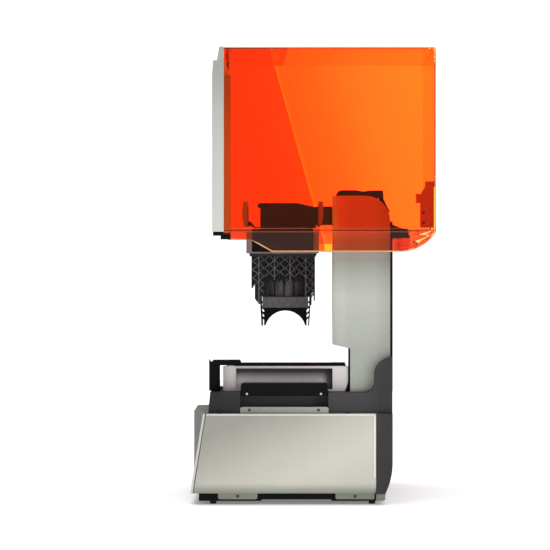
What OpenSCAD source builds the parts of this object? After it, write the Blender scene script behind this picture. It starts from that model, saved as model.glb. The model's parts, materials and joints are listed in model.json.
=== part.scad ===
// Desktop masked resin printer with its hinged cover standing open.
// Millimetres. +X right seen from the front, front towards -Y, +Z up.
// The origin is the middle of the footprint of the open printer, on the surface that it stands on.

/* [Base] */
// Width over the two side panels
base_w = 398; // [396:1:400]
// Height of the top edge of the side panels
base_top = 160; // [158:1:161]
// How far in front of the origin the foot of the front panel lies
front_foot = 215.4; // [213:0.2:216]
// How far in front of the origin the top of the front panel lies
front_head = 192.9; // [192:0.1:194]
// Sheet thickness of the side panels and the front panel
sheet_t = 2; // [1.5:0.1:2.5]
// Height of the deck that the resin tank stands on
deck_top = 196.2; // [195.8:0.1:196.4]
// Half width of the deck
deck_x = 184.5; // [183:0.5:184.5]

/* [Tower] */
// Half width of the tower
tower_x = 160; // [159:0.5:160]
// Top of the tower
tower_top = 542.4; // [541:0.1:543]
// Front face of the upper part of the tower
tower_front = 33.9; // [33.5:0.1:34]
// Rear face of the tower
tower_rear = 136.2; // [136:0.1:136.5]
// Radius of the rounded upper rear corner of the tower
tower_rear_r = 45; // [40:1:46]
// Radius of the rounded front corners of the tower
tower_corner_r = 18; // [12:1:18]

/* [Cover] */
// Half width over the transparent side walls
cover_x = 196; // [195:0.5:196]
// Wall thickness of the transparent cover
cover_t = 3.5; // [3:0.5:4]
// Top of the open cover
cover_top = 802.7; // [800:0.1:804]
// Rearmost face of the open cover
cover_rear = 215.3; // [214:0.1:216]
// Radius of the curved rear wall of the cover
cover_arc_r = 71.7; // [71:0.1:72]

/* [Resin tank] */
// Half width of the tank frame
tank_x = 150; // [149:0.5:150]
// Front face of the tank frame
tank_front = -159.2; // [-160:0.1:-158]
// Rear face of the tank frame
tank_rear = 62; // [61:0.1:62]
// Top of the raised right end of the tank frame
tank_top = 240.8; // [240:0.1:241]
// Top of the rest of the tank rim
rim_top = 232.6; // [230:0.1:233]

/* [Build platform] */
// Half width of the build surface
plate_x = 100; // [98:1:101]
// Height of the build surface with the carriage raised
plate_z = 440.1; // [439:0.1:441]
// Radius of the arch through the sample print
arch_r = 37.5; // [35:0.5:38]

/* [Hidden] */
$fn = 64;
side_in = base_w / 2 - sheet_t;
panel_foot = 20;
front_slope = (front_foot - front_head) / (base_top - panel_foot);
panel_rear = 110;
tab_y = [-128, 27];
tab_top = 171;
tab_x = [deck_x + 0.1, deck_x + 1.6];
tab_screws = [-111.8, 9.6];
tab_screw_z = 165.9;
foot_tabs = [[-166.6, -97.8], [39.2, 108]];
foot_tab_z = 9.6;
foot_screw_z = 15;
pan_x = 188.4;
pan_pad_z = 6.5;
pan_front = -200.4;
pan_floor = 9.2;
foot_spots = [-176, 103.6];
foot_r = 5.8;
tuck_top = 45;
tuck = 7.5;
foot_tab_x = [pan_x + 0.1, pan_x + 2.1];
foot_tab_top = 26;
foot_x = 170;
pod_x = 63;
pod_front = -214.6;
pod_top = 157.5;
deck_front = -181;
deck_lean = 3;
deck_rear = 115.8;
deck_t = 3;
pocket_x = 152;
pocket_y = [-128.2, 26.8];
pocket_z = 171;
channel_x = 146;
channel_y = [-176, -161];
channel_z = 185;
rail_end_x = 170;
screen_x = 106;
screen_y = [-124, 14];
housing_rear = 139.3;
housing_t = 2.5;
light_box = [112, -130, 20, 30, 190];
overhang_z = [279.5, 272.8];
tower_lower_front = 65.5;
tower_lean = 3.9;
lower_lean = 5.3;
tower_t = 2.5;
tower_back_t = 4.6;
slot_x = [32, 52];
slot_z = [244, 532];
hinge_y = 127.6;
hinge_z = 466.6;
pin_r = 4.5;
knuckle_r = 8.5;
hinge_x = [139.5, 148.5];
hinge_slot_x = [135, 152];
hinge_slot_z = [458, 515];
pin_gap = 0.05;
screw_y = 98;
screw_r = 4;
rail_x = 34;
arm_x = [36, 48];
cart_x = [62, 134];
cart_y = [41.4, 124.5];
bay_x = [58, 138];
mixer_x = 132;
mixer_y = [-184.5, -165.3];
mixer_rod_y = -173;
mixer_rod_z = 176;
belt_y = -158;
tank_base = 196.5;
basin_x = 138;
basin_y = [-146, 46];
film_top = 199.9;
lever_pin = [-115, 494];
strip_x = [187, base_w / 2];
strip_foot = 478.5;
lip_foot = 778.6;
arc_centre = [cover_rear - 61.6, 443.1 + cover_arc_r];
fan_at = [-70, 105];
fan_r = 37.5;
inlet_at = [80, 90];
switch_at = [105, 90];
rocker_y = 135;
rocker_lean = 8;

// ---- shared shapes ----

// A box given by its ranges along X, Y and Z
module block(x, y, z) {
    translate([x[0], y[0], z[0]]) cube([x[1] - x[0], y[1] - y[0], z[1] - z[0]]);
}

// A side view outline, in Y and Z, carried from one X to another
module across(x0, x1) {
    translate([x0, 0, 0]) rotate([90, 0, 90]) linear_extrude(x1 - x0) children();
}

// A front view outline, in X and Z, carried from one Y to another
module along(y0, y1) {
    translate([0, y1, 0]) rotate([90, 0, 0]) linear_extrude(y1 - y0) children();
}

// The same thing on the left and on the right
module both() {
    children();
    mirror([1, 0, 0]) children();
}

module rod_x(x0, x1, y, z, r) {
    translate([x0, y, z]) rotate([0, 90, 0]) cylinder(h = x1 - x0, r = r);
}

module rod_y(x, y0, y1, z, r) {
    translate([x, y0, z]) rotate([-90, 0, 0]) cylinder(h = y1 - y0, r = r);
}

module rod_z(x, y, z0, z1, r) {
    translate([x, y, z0]) cylinder(h = z1 - z0, r = r);
}

// A rectangle with round corners
module round_rect(x, y, r) {
    translate([x[0] + r, y[0]]) square([x[1] - x[0] - 2 * r, y[1] - y[0]]);
    translate([x[0], y[0] + r]) square([x[1] - x[0], y[1] - y[0] - 2 * r]);
    for (u = [x[0] + r, x[1] - r], v = [y[0] + r, y[1] - r]) translate([u, v]) circle(r);
}

// A slot outline with round ends, centred, with the ends' centres at -x and x
module stadium(x, r) {
    translate([-x, -r]) square([2 * x, 2 * r]);
    for (u = [-x, x]) translate([u, 0]) circle(r);
}

// Points along a curve from a to c that leans towards b
function bend(a, b, c, n = 8) =
    [for (i = [0:n]) let (t = i / n) (1 - t) * (1 - t) * a + 2 * t * (1 - t) * b + t * t * c];

// The same points in the opposite order
function backwards(line) = [for (i = [len(line) - 1:-1:0]) line[i]];

// Y of the outer face of the front panel at a height
function panel_face(z) = -front_foot + (z - panel_foot) * front_slope;

// ---- base ----

module bottom_pan() {
    color([0.1, 0.1, 0.1]) difference() {
        across(-pan_x, pan_x) polygon([
            [pan_front, 26], [pan_front, pan_pad_z], [-91.6, pan_pad_z], [-89.6, pan_floor],
            [31, pan_floor], [33, pan_pad_z], [panel_rear, pan_pad_z], [panel_rear, 26]
        ]);
        block([2 - pan_x, pan_x - 2], [pan_front + 2, panel_rear - 2], [11.6, 27]);
        for (x = [-60:12:60]) block([x - 2, x + 2], [-80, 20], [8, 12]);
        both() for (t = foot_tabs) rod_x(pan_x - 4, pan_x + 1, (t[0] + t[1]) / 2, foot_screw_z, 1.6);
    }
}

module rubber_feet() {
    color([0.06, 0.06, 0.06]) both() for (y = foot_spots) {
        rod_z(foot_x, y, 0, pan_pad_z, foot_r);
    }
}

// Line that a side panel follows from its foot to its top, moved inwards by some amount
function side_line(inset) = concat(
    bend([base_w / 2 - tuck - inset, panel_foot], [base_w / 2 - inset, 32], [base_w / 2 - inset, tuck_top]),
    [[base_w / 2 - inset, base_top]]
);

module side_panel() {
    inner = side_line(sheet_t);
    difference() {
        union() {
            intersection() {
                along(-220, panel_rear) polygon(concat(side_line(0), backwards(inner)));
                across(pan_x, base_w / 2) polygon([
                    [-front_foot, panel_foot], [-front_head, base_top],
                    [panel_rear, base_top], [panel_rear, panel_foot]
                ]);
            }
            block([tab_x[0], side_in + 0.5], [-184, panel_rear], [base_top - sheet_t, base_top]);
            across(tab_x[0], tab_x[1]) {
                round_rect(tab_y, [base_top - sheet_t, tab_top], 4);
                translate([tab_y[0], base_top - sheet_t]) square([tab_y[1] - tab_y[0], 5]);
            }
            across(foot_tab_x[0], foot_tab_x[1]) {
                for (t = foot_tabs) round_rect(t, [foot_tab_z, foot_tab_top], 3);
            }
        }
        for (y = tab_screws) rod_x(tab_x[0] - 1, tab_x[1] + 1, y, tab_screw_z, 1.3);
        for (t = foot_tabs) rod_x(pan_x - 1, pan_x + 4, (t[0] + t[1]) / 2, foot_screw_z, 1.6);
    }
}

module left_side_panel() {
    color([0.72, 0.72, 0.69]) mirror([1, 0, 0]) side_panel();
}

module right_side_panel() {
    color([0.72, 0.72, 0.69]) side_panel();
}

module front_panel() {
    side = side_line(sheet_t + 0.2);
    color([0.74, 0.74, 0.71]) difference() {
        intersection() {
            across(-side_in, side_in) polygon([
                [-front_foot, panel_foot], [-front_head, base_top], [-184.2, base_top],
                [-184.2, base_top - sheet_t], [panel_face(base_top - sheet_t) + sheet_t, base_top - sheet_t],
                [panel_face(panel_foot + sheet_t) + sheet_t, panel_foot + sheet_t],
                [-204, panel_foot + sheet_t], [-204, panel_foot]
            ]);
            along(-220, -180) polygon(concat(side, [for (p = backwards(side)) [-p[0], p[1]]]));
        }
        block([-60.3, 60.3], [-220, -180], [35, 152]);
        both() block([tab_x[0] - 1, side_in], [-188, -180], [base_top - 5, base_top + 1]);
    }
}

module display_housing() {
    color([0.62, 0.62, 0.6]) difference() {
        union() {
            across(-pod_x, pod_x) polygon([
                [pod_front, 25.5], [pod_front, pod_top - 2], [pod_front + 2, pod_top],
                [panel_face(pod_top) - 0.1, pod_top], [panel_face(26) - 0.1, 26]
            ]);
            block([-60, 60], [-212, -186], [40, 150]);
        }
        block([-57, 57], [-210, -185], [43, 147]);
        block([-54, 54], [pod_front - 1, pod_front + 2.2], [46, 148]);
    }
}

module touch_screen() {
    color([0.03, 0.03, 0.035]) block([-53.8, 53.8], [pod_front, pod_front + 2.1], [46.2, 147.8]);
}

module upper_deck() {
    face = [[deck_front - deck_lean, base_top], [deck_front, deck_top],
            [deck_rear, deck_top], [deck_rear, base_top]];
    inner = [[deck_front - deck_lean + deck_t, base_top - 1], [deck_front + deck_t, deck_top - deck_t],
             [deck_rear + 1, deck_top - deck_t], [deck_rear + 1, base_top - 1]];
    color([0.25, 0.25, 0.25]) difference() {
        across(-deck_x, deck_x) polygon(face);
        both() block([pocket_x, deck_x + 1], pocket_y, [pocket_z, deck_top + 1]);
        difference() {
            across(deck_t - deck_x, deck_x - deck_t) polygon(inner);
            both() block([pocket_x - deck_t, deck_x + 1], [pocket_y[0] - deck_t, pocket_y[1] + deck_t],
                [pocket_z - deck_t, deck_top + 1]);
            block([-deck_x - 1, rail_end_x], [channel_y[0] - deck_t, channel_y[1] + deck_t],
                [channel_z - deck_t, deck_top + 1]);
        }
        block([-deck_x - 1, channel_x], channel_y, [channel_z, deck_top + 1]);
        block([-screen_x, screen_x], screen_y, [deck_top - 5, deck_top + 1]);
        block([-mixer_x - 8, mixer_x + 8], [-175.5, -170.5], [channel_z - 5, channel_z + 1]);
        both() for (y = tab_screws) rod_x(deck_x - 5, deck_x + 1, y, tab_screw_z, 1.3);
    }
}

module cover_bumpers() {
    color([0.08, 0.08, 0.08]) both() for (y = [-165, 60]) rod_z(193, y, base_top, base_top + 1.6, 3);
}

module panel_screws() {
    color([0.75, 0.75, 0.77]) both() {
        for (y = tab_screws) {
            rod_x(deck_x - 4, tab_x[1] + 0.01, y, tab_screw_z, 1.25);
            rod_x(tab_x[1], tab_x[1] + 0.7, y, tab_screw_z, 2.5);
        }
        for (t = foot_tabs) {
            rod_x(pan_x - 2, foot_tab_x[1] + 0.01, (t[0] + t[1]) / 2, foot_screw_z, 1.5);
            rod_x(foot_tab_x[1], foot_tab_x[1] + 1.2, (t[0] + t[1]) / 2, foot_screw_z, 2.8);
        }
    }
}

// ---- rear of the base ----

module shoulder_outline() {
    polygon(concat(
        [[housing_rear, deck_top - 1], [116.2, deck_top - 1], [116.2, deck_top + 0.1], [96, deck_top + 0.1]],
        bend([96, 197.5], [107.5, 200], [107.6, 216]),
        bend([107.8, 230], [109, 250], [housing_rear, 259.7])
    ));
}

module rear_housing() {
    t = housing_t;
    back = bend([housing_rear, 74], [139, 45], [126.4, 19.6]);
    back_in = bend([housing_rear - t, 76], [136, 48], [124, 22]);
    color([0.25, 0.25, 0.25]) difference() {
        union() {
            across(-side_in, side_in) polygon(concat(
                [[panel_rear + 0.2, base_top], [housing_rear, base_top]], back,
                [[126, 9], [122, 7.4], [panel_rear + 0.2, 7.4]]
            ));
            block([-deck_x, deck_x], [116, housing_rear], [base_top - 1, deck_top]);
            both() across(tower_x + 1, deck_x) shoulder_outline();
        }
        across(t - side_in, side_in - t) polygon(concat(
            [[panel_rear - 1, base_top - t], [housing_rear - t, base_top - t]], back_in,
            [[122, 10], [panel_rear - 1, 10]]
        ));
        block([t - deck_x, deck_x - t], [95, housing_rear - t], [base_top - 4, deck_top - t]);
        both() block([tower_x + 1 + t, deck_x - t], [118.5, housing_rear - t], [deck_top - 5, 240]);
        block([-120, 120], [134, 141], [60, 150]);
    }
}

module rear_cover() {
    color([0.12, 0.12, 0.12]) difference() {
        block([-119.8, 119.8], [137, housing_rear], [60.2, 149.8]);
        for (z = [76:6:134]) {
            w = sqrt(fan_r * fan_r - (z - fan_at[1]) * (z - fan_at[1]));
            block([fan_at[0] - w, fan_at[0] + w], [136, 141], [z - 1.5, z + 1.5]);
        }
        block([inlet_at[0] - 14, inlet_at[0] + 14], [136, 141], [inlet_at[1] - 10.2, inlet_at[1] + 10.2]);
        block([switch_at[0] - 8.2, switch_at[0] + 8.2], [136, 141], [switch_at[1] - 11, switch_at[1] + 11]);
        block([7.8, 24.2], [136, 141], [82.8, 96.2]);
        block([31.8, 46.2], [136, 141], [84.8, 92.2]);
    }
}

// Mains inlet socket and the frame of the rocker switch beside it
module power_inlet() {
    x = inlet_at[0];
    z = inlet_at[1];
    u = switch_at[0];
    w = switch_at[1];
    color([0.07, 0.07, 0.07]) {
        difference() {
            union() {
                block([x - 13.8, x + 13.8], [118, housing_rear + 0.1], [z - 10, z + 10]);
                block([x - 15.9, x + 15.9], [housing_rear, housing_rear + 1.5], [z - 12.5, z + 12.5]);
            }
            block([x - 12, x + 12], [124, 142], [z - 8.2, z + 8.2]);
        }
        for (p = [[-7, -1], [7, -1], [0, 3]]) {
            block([x + p[0] - 1, x + p[0] + 1], [123.9, 136], [z + p[1] - 2, z + p[1] + 2]);
        }
        difference() {
            union() {
                block([u - 8, u + 8], [128, housing_rear + 0.1], [w - 10.8, w + 10.8]);
                block([u - 9, u + 9], [housing_rear, housing_rear + 1.2], [w - 12, w + 12]);
            }
            block([u - 6.2, u + 6.2], [130, 142], [w - 9.6, w + 9.6]);
            rod_x(u - 9, u + 9, rocker_y, w, 1.55);
        }
    }
}

module power_switch() {
    u = switch_at[0];
    color([0.05, 0.05, 0.05]) translate([0, rocker_y, switch_at[1]]) rotate([rocker_lean, 0, 0]) {
        across(u - 6, u + 6) polygon([[-1.8, -8.4], [4.6, -8.4], [3.2, 0], [4.6, 8.4], [-1.8, 8.4]]);
        rod_x(u - 7.8, u + 7.8, 0, 0, 1.5);
    }
}

module data_ports() {
    color([0.7, 0.7, 0.72]) {
        difference() {
            block([8, 24], [120, housing_rear + 0.3], [83, 96]);
            block([9.5, 22.5], [125, 141], [84.5, 94.5]);
        }
        difference() {
            block([32, 46], [122, housing_rear + 0.3], [85, 92]);
            block([33, 45], [126, 141], [86, 91]);
        }
    }
}

module fan_housing() {
    x = fan_at[0];
    z = fan_at[1];
    color([0.1, 0.1, 0.1]) {
        difference() {
            block([x - 40, x + 40], [116, 134], [z - 40, z + 40]);
            rod_y(x, 115, 135, z, fan_r);
        }
        rod_y(x, 116, 118, z, 14);
        rod_y(x, 116, 130, z, 2);
        for (a = [45:90:315]) translate([x, 117, z]) rotate([0, a, 0]) {
            block([13, fan_r + 1], [-1, 1], [-2, 2]);
        }
    }
}

module fan_rotor() {
    x = fan_at[0];
    z = fan_at[1];
    color([0.13, 0.13, 0.13]) difference() {
        union() {
            rod_y(x, 119, 131, z, 16);
            for (a = [0:360 / 7:359]) translate([x, 125, z]) rotate([0, a, 0])
                rotate([35, 0, 0]) block([14, 34], [-0.9, 0.9], [-8, 8]);
        }
        rod_y(x, 118, 130.1, z, 2.05);
    }
}

// ---- light engine and electronics ----

module light_box_shell() {
    x = light_box[0];
    y = [light_box[1], light_box[2]];
    z = [light_box[3], light_box[4]];
    color([0.15, 0.15, 0.15]) difference() {
        block([-x, x], y, z);
        block([3 - x, x - 3], [y[0] + 3, y[1] - 3], [z[0] + 6, z[1] + 1]);
        block([12 - x, x - 12], [y[0] + 12, y[1] - 12], [z[0] - 1, z[0] + 7]);
    }
}

module led_array() {
    color([0.2, 0.45, 0.25]) block([-104, 104], [-122, 12], [36, 38]);
    color([0.95, 0.93, 0.8]) for (x = [-87.5:25:87.5], y = [-105:25:-5]) {
        block([x - 3.5, x + 3.5], [y - 3.5, y + 3.5], [38, 40]);
    }
}

module heat_sink() {
    color([0.72, 0.73, 0.74]) {
        block([-92, 92], [-112, 2], [31.5, 36]);
        for (x = [-88:8:88]) block([x - 1, x + 1], [-110, 0], [14, 31.6]);
    }
}

// Lens plate with a low dome over each group of lamps
module collimator_lens() {
    color([0.85, 0.9, 0.92, 0.6]) {
        block([-105, 105], [-123, 13], [96, 100]);
        for (x = [-75:50:75], y = [-105:50:-5]) intersection() {
            translate([x, y, 64]) sphere(r = 42);
            block([x - 24, x + 24], [y - 17, y + 17], [99.9, 112]);
        }
    }
}

module screen_panel() {
    color([0.04, 0.04, 0.06]) {
        x = screen_x - 0.2;
        block([-x, x], [screen_y[0] + 0.2, screen_y[1] - 0.2], [192, deck_top - 0.2]);
        block([-110, 110], [-128, 18], [190.1, 192.01]);
    }
}

module main_board() {
    color([0.1, 0.35, 0.2]) block([122, 186], [-60, 60], [20, 21.6]);
    color([0.15, 0.15, 0.15]) for (y = [-45, -10, 30]) block([135, 165], [y, y + 22], [21.6, 27]);
    color([0.7, 0.7, 0.7]) for (x = [126, 182], y = [-55, 55]) rod_z(x, y, 11.6, 20, 3);
}

module power_supply() {
    color([0.68, 0.69, 0.7]) difference() {
        block([-186, -122], [-60, 80], [11.6, 60]);
        for (y = [-40:12:60]) block([-180, -128], [y, y + 4], [50, 61]);
    }
}

// ---- tower ----

module tower_form(inset, rear) {
    y0 = tower_front + inset;
    r = tower_rear_r - inset;
    low = tower_lower_front + inset;
    arc = [tower_rear - tower_rear_r, tower_top - tower_rear_r];
    intersection() {
        translate([0, 0, 180]) linear_extrude(380) difference() {
            union() {
                round_rect([inset - tower_x, tower_x - inset], [y0, 100], tower_corner_r - inset);
                translate([inset - tower_x, 80]) square([2 * (tower_x - inset), 70]);
            }
            polygon([[tower_x, y0], [-tower_x, y0 + tower_lean], [-tower_x, 0]]);
        }
        union() {
            translate([0, 0, overhang_z[1] + inset]) linear_extrude(300) square([400, 400], center = true);
            linear_extrude(300) polygon([
                [tower_x, low], [tower_x, 150], [-tower_x, 150], [-tower_x, low + lower_lean]
            ]);
        }
        across(-tower_x, tower_x) union() {
            polygon([
                [y0, overhang_z[0] + inset], [63.1 + inset, overhang_z[1] + inset],
                [tower_lower_front + inset, overhang_z[1] + inset],
                [tower_lower_front + inset, deck_top - inset], [rear, deck_top - inset],
                [rear, arc[1]], [arc[0], arc[1]], [arc[0], tower_top - inset], [y0, tower_top - inset]
            ]);
            intersection() {
                translate(arc) circle(r);
                translate(arc) square(60);
            }
        }
    }
}

module tower_shell() {
    color([0.7, 0.72, 0.68]) difference() {
        tower_form(0, tower_rear);
        tower_form(tower_t, tower_rear + 5);
        block([bay_x[0] - 1, bay_x[1] + 1], [38, 140], [512, 560]);
        both() block(slot_x, [30, 76], slot_z);
        both() block(hinge_slot_x, [118, 140], hinge_slot_z);
    }
}

module tower_back() {
    color([0.05, 0.05, 0.05]) difference() {
        block([3 - tower_x, tower_x - 3], [tower_rear, tower_rear + tower_back_t], [197, 497]);
        block([-150, 150], [tower_rear - 1, tower_rear + 2.6], [204, 440]);
        both() block(hinge_slot_x, [130, 145], hinge_slot_z);
    }
}

module vent_plate() {
    turn = atan(lower_lean / (2 * tower_x));
    color([0.08, 0.08, 0.08]) difference() {
        translate([tower_x, tower_lower_front, 0]) rotate([0, 0, -turn])
            block([-tower_x - 148, 148 - tower_x], [-2.5, -0.2], [deck_top + 0.5, 271]);
        both() block([slot_x[0] - 1, slot_x[1] + 1], [60, 72], [slot_z[0] - 2, 272]);
        both() for (z = [206:7:234]) block([70, 140], [60, 72], [z, z + 3]);
    }
}

module tower_frame() {
    color([0.75, 0.76, 0.77]) difference() {
        union() {
            block([-52, 52], [120, 126], [deck_top, 519]);
            block([-56, 56], [74, 126], [deck_top, deck_top + 2.8]);
            block([-20, 20], [84, 120.1], [234, 240]);
            across(-20, 20) polygon([
                [84, 530], [113, 530], [120.1, 515], [126, 515], [126, 519], [109, 535], [84, 536]
            ]);
        }
        rod_z(0, screw_y, 233, 241, screw_r + pin_gap);
        rod_z(0, screw_y, 529, 537, screw_r + pin_gap);
        for (z = [270:60:500]) rod_y(0, 119, 127, z, 12);
    }
}

module z_rails() {
    color([0.8, 0.81, 0.83]) both() difference() {
        block([rail_x - 6, rail_x + 6], [112, 120], [241, 524]);
        for (z = [256:40:520]) rod_y(rail_x, 111, 116, z, 3);
    }
}

module z_motor() {
    color([0.12, 0.12, 0.13]) {
        block([-21, 21], [screw_y - 21, screw_y + 21], [deck_top + 2.8, 221]);
        rod_z(0, screw_y, 220.9, 230, 2.5);
    }
}

module hinge_blocks() {
    outer = tower_x - tower_t;
    color([0.6, 0.61, 0.62]) both() difference() {
        block([130, outer], [119.5, tower_rear - tower_t], [440, 477]);
        block([hinge_x[0] - 0.8, hinge_x[1] + 0.8], [119, tower_rear], [hinge_slot_z[0] - 1, 478]);
        rod_x(129, tower_x, hinge_y, hinge_z, pin_r);
    }
}

module hinge_pins() {
    color([0.8, 0.8, 0.82]) both() {
        rod_x(129, tower_x - tower_t, hinge_y, hinge_z, pin_r);
        rod_x(127, 129.9, hinge_y, hinge_z, pin_r + 2);
    }
}

// Liner that the resin cartridge drops into, with the dosing spout at its foot
module cartridge_bay() {
    color([0.14, 0.14, 0.14]) {
        difference() {
            block(bay_x, [38.5, 119], [292, 508]);
            block([bay_x[0] + 2, bay_x[1] - 2], [40.5, 117], [296, 509]);
            rod_z(98, 60, 291, 297, 5);
        }
        difference() {
            rod_z(98, 60, 282.5, 292.1, 8);
            rod_z(98, 60, 281, 293, 5);
        }
    }
}

// ---- Z drive ----

module carriage_plate() {
    color([0.2, 0.2, 0.21]) {
        difference() {
            union() {
                block([-52, 52], [98, 106], [482, 526]);
                block([-13, 13], [85, 111], [482, 526]);
            }
            rod_z(0, screw_y, 481, 527, 8);
            rod_z(0, screw_y, 522, 527, 11);
        }
        both() difference() {
            block([rail_x - 12, rail_x + 12], [106, 118.5], [486, 522]);
            block([rail_x - 6.1, rail_x + 6.1], [111.5, 119], [485, 523]);
        }
    }
}

module carriage_arms() {
    color([0.07, 0.07, 0.07]) {
        both() {
            block(arm_x, [4.6, 98], [491.8, 525.3]);
            rod_y((arm_x[0] + arm_x[1]) / 2, -8, 4.7, 508, 3);
        }
        block([-60, 60], [20.8, 31.8], [491.8, 525.3]);
    }
}

module lead_nut() {
    color([0.8, 0.65, 0.3]) difference() {
        union() {
            rod_z(0, screw_y, 486, 522, 8);
            rod_z(0, screw_y, 522, 526, 11);
        }
        rod_z(0, screw_y, 485, 527, screw_r + pin_gap);
    }
}

module lead_screw() {
    color([0.78, 0.78, 0.8]) difference() {
        union() {
            rod_z(0, screw_y, 222, 536, screw_r);
            rod_z(0, screw_y, 222, 233, 9);
        }
        rod_z(0, screw_y, 221, 230.2, 2.5 + pin_gap);
    }
}

// ---- build platform ----

module build_plate() {
    color([0.62, 0.6, 0.58]) {
        block([-plate_x, plate_x], [-119.4, 10.6], [plate_z, plate_z + 3]);
        block([-plate_x, plate_x], [-119.4, -109.2], [plate_z + 2.9, 480]);
        block([-plate_x, plate_x], [1, 10.6], [plate_z + 2.9, 480]);
    }
}

module platform_body() {
    color([0.09, 0.09, 0.09]) difference() {
        union() {
            block([-98, 98], [-109, 0.8], [plate_z + 3.2, 484]);
            block([-50, 50], [-92, 0], [483.9, 488.1]);
            block([-70, 70], [-94.7, 4.1], [488, 524]);
            across(-74, 74) polygon([
                [-99.8, 523.9], [-99.8, 527], [-96, 530.8], [-27.8, 530.8], [-12.4, 527], [3, 523.9]
            ]);
        }
        both() rod_y((arm_x[0] + arm_x[1]) / 2, -9, 5, 508, 3 + pin_gap);
    }
}

// Two springs under the grips, with the pin that the release lever turns on
module lever_springs() {
    y = lever_pin[0];
    z = lever_pin[1];
    color([0.05, 0.05, 0.05]) {
        both() across(52, 60) difference() {
            union() {
                polygon([
                    [y - 2, z + 2], [-107, 486.2], [5, 486.2], [9.4, 495], [8, 495.6], [4.4, 487.8],
                    [-106, 487.8], [y + 1, z + 4]
                ]);
                translate([y, z]) circle(4);
            }
            translate([y, z]) circle(1.9);
        }
        rod_x(-60, 60, y, z, 2);
    }
}

module rear_grip() {
    color([0.6, 0.6, 0.6]) difference() {
        across(-64, 64) polygon(concat(
            [[9.9, 534], [9.6, 488.5], [14, 488.5]],
            bend([16.5, 492], [20.6, 512], [18.5, 534])
        ));
        block([-61, 61], [12, 25], [486, 530]);
        both() block([arm_x[0] - 1, arm_x[1] + 1], [5, 25], [490, 527]);
    }
}

module release_lever() {
    y = lever_pin[0];
    z = lever_pin[1];
    color([0.6, 0.6, 0.6]) difference() {
        union() {
            across(-64, 64) polygon(concat(
                [[-118, 488.5], [-118, 534], [-122, 534.5]],
                bend([-125.5, 534], [-129.6, 512], [-125.5, 492]),
                [[-123, 488.5]]
            ));
            both() across(40, 50) union() {
                translate([y, z]) circle(4);
                translate([-119, z - 4]) square([4, 8]);
            }
        }
        rod_x(-65, 65, y, z, 2 + pin_gap);
        both() block([51.5, 60.5], [-119.3, -100], [480, 540]);
    }
}

// Sample print: a ribbed barrel on a flange, arched underneath
module sample_print() {
    middle = -49.8;
    color([0.28, 0.28, 0.28]) difference() {
        union() {
            block([-42, 42], [-91.5, -8.1], [341, 361]);
            across(-42, 42) polygon([[-88.5, 309], [-88.5, 342], [-11, 342], [-11, 309]]);
            rod_z(0, middle, 360, 394, 34);
            for (a = [0:30:330]) translate([0, middle, 360]) rotate([0, 0, a]) {
                block([30, 36.5], [-1.5, 1.5], [0, 30]);
            }
        }
        across(-43, 43) translate([middle, 298.5]) circle(arch_r);
        rod_z(0, middle, 350, 395, 29);
    }
}

// Raft and support posts that hold the print to the build surface
module print_supports() {
    middle = -49.8;
    color([0.1, 0.1, 0.1]) {
        block([-60, 60], [-115.4, 7.5], [434.4, plate_z]);
        for (a = [0:30:330]) translate([0, middle, 0]) rotate([0, 0, a]) rod_z(31.5, 0, 394, 434.5, 1.4);
        for (x = [-48:24:48], y = [-110, 2]) rod_z(x, y, 372, 434.5, 1.4);
        for (x = [-40:20:40], y = [-94, -5.6]) rod_z(x, y, 306, 434.5, 1.4);
    }
}

// ---- resin mixer ----

module mixer_rail() {
    y = mixer_rod_y;
    color([0.75, 0.75, 0.77]) {
        rod_x(-160, 160, y, mixer_rod_z, 4);
        both() block([158, 164], [y - 4.5, y + 6], [171.6, channel_z - deck_t]);
        rod_z(152, belt_y, 172, channel_z - deck_t, 2);
    }
}

// Motor with its pulley and the belt that pulls the mixer drive
module mixer_motor() {
    color([0.12, 0.12, 0.13]) {
        block([-166, -138], [-172, -144], [146, 171.5]);
        rod_z(-152, belt_y, 171.4, 181, 4.5);
        difference() {
            translate([0, belt_y, 174]) linear_extrude(6) stadium(152, 5.6);
            translate([0, belt_y, 173]) linear_extrude(8) stadium(152, 4.5);
        }
        difference() {
            rod_z(152, belt_y, 173, 181, 4.5);
            rod_z(152, belt_y, 172, 182, 2);
        }
    }
}

module mixer_drive() {
    x = mixer_x;
    color([0.09, 0.09, 0.09]) difference() {
        union() {
            block([x - 9, x + 9], [-178, -164], [168.5, 181]);
            block([x - 6, x + 6], [-174.6, -171.4], [180.9, 198]);
            block([x - 6, x + 6], mixer_y, [deck_top + 0.3, 241.4]);
        }
        rod_x(x - 10, x + 10, mixer_rod_y, mixer_rod_z, 4 + pin_gap);
    }
}

module resin_mixer() {
    x = mixer_x;
    color([0.09, 0.09, 0.09]) {
        across(x - 8, x + 8) {
            polygon([
                [mixer_y[0], 241.8], [mixer_y[0], 251.8], [-183.4, 251.8], [-182.6, 248.6], [-180, 247.8],
                [-177, 251.2], [-131, 251.4], [-128, 249], [-128, 241.8]
            ]);
            polygon(concat([[-129, 241.2], [-129, 246]], bend([52, 246], [57, 246], [57, 241.2], 4)));
        }
        block([x - 2, x + 2], [-140, 40], [204, 241.3]);
        block([x - 0.8, x + 0.8], [-138, 38], [film_top + 0.4, 204.1]);
    }
}

// ---- resin tank ----

module resin_tank() {
    color([0.8, 0.76, 0.73]) difference() {
        across(-tank_x, tank_x) polygon([
            [tank_front, tank_base], [tank_front, tank_top], [tank_rear, tank_top],
            [tank_rear, 211], [56.5, tank_base]
        ]);
        block([-basin_x, basin_x], basin_y, [film_top, tank_top + 1]);
        block([-tank_x - 1, basin_x + 1], [tank_front - 1, tank_rear + 1], [rim_top, tank_top + 1]);
        block([-112, 112], [-130, 20], [tank_base - 1, film_top + 1]);
        block([-115, 115], [-133, 23], [film_top - 0.4, film_top + 1]);
        both() block([basin_x + 4, tank_x + 1], [-136, 34.4], [200, tank_top - 4]);
    }
}

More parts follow.
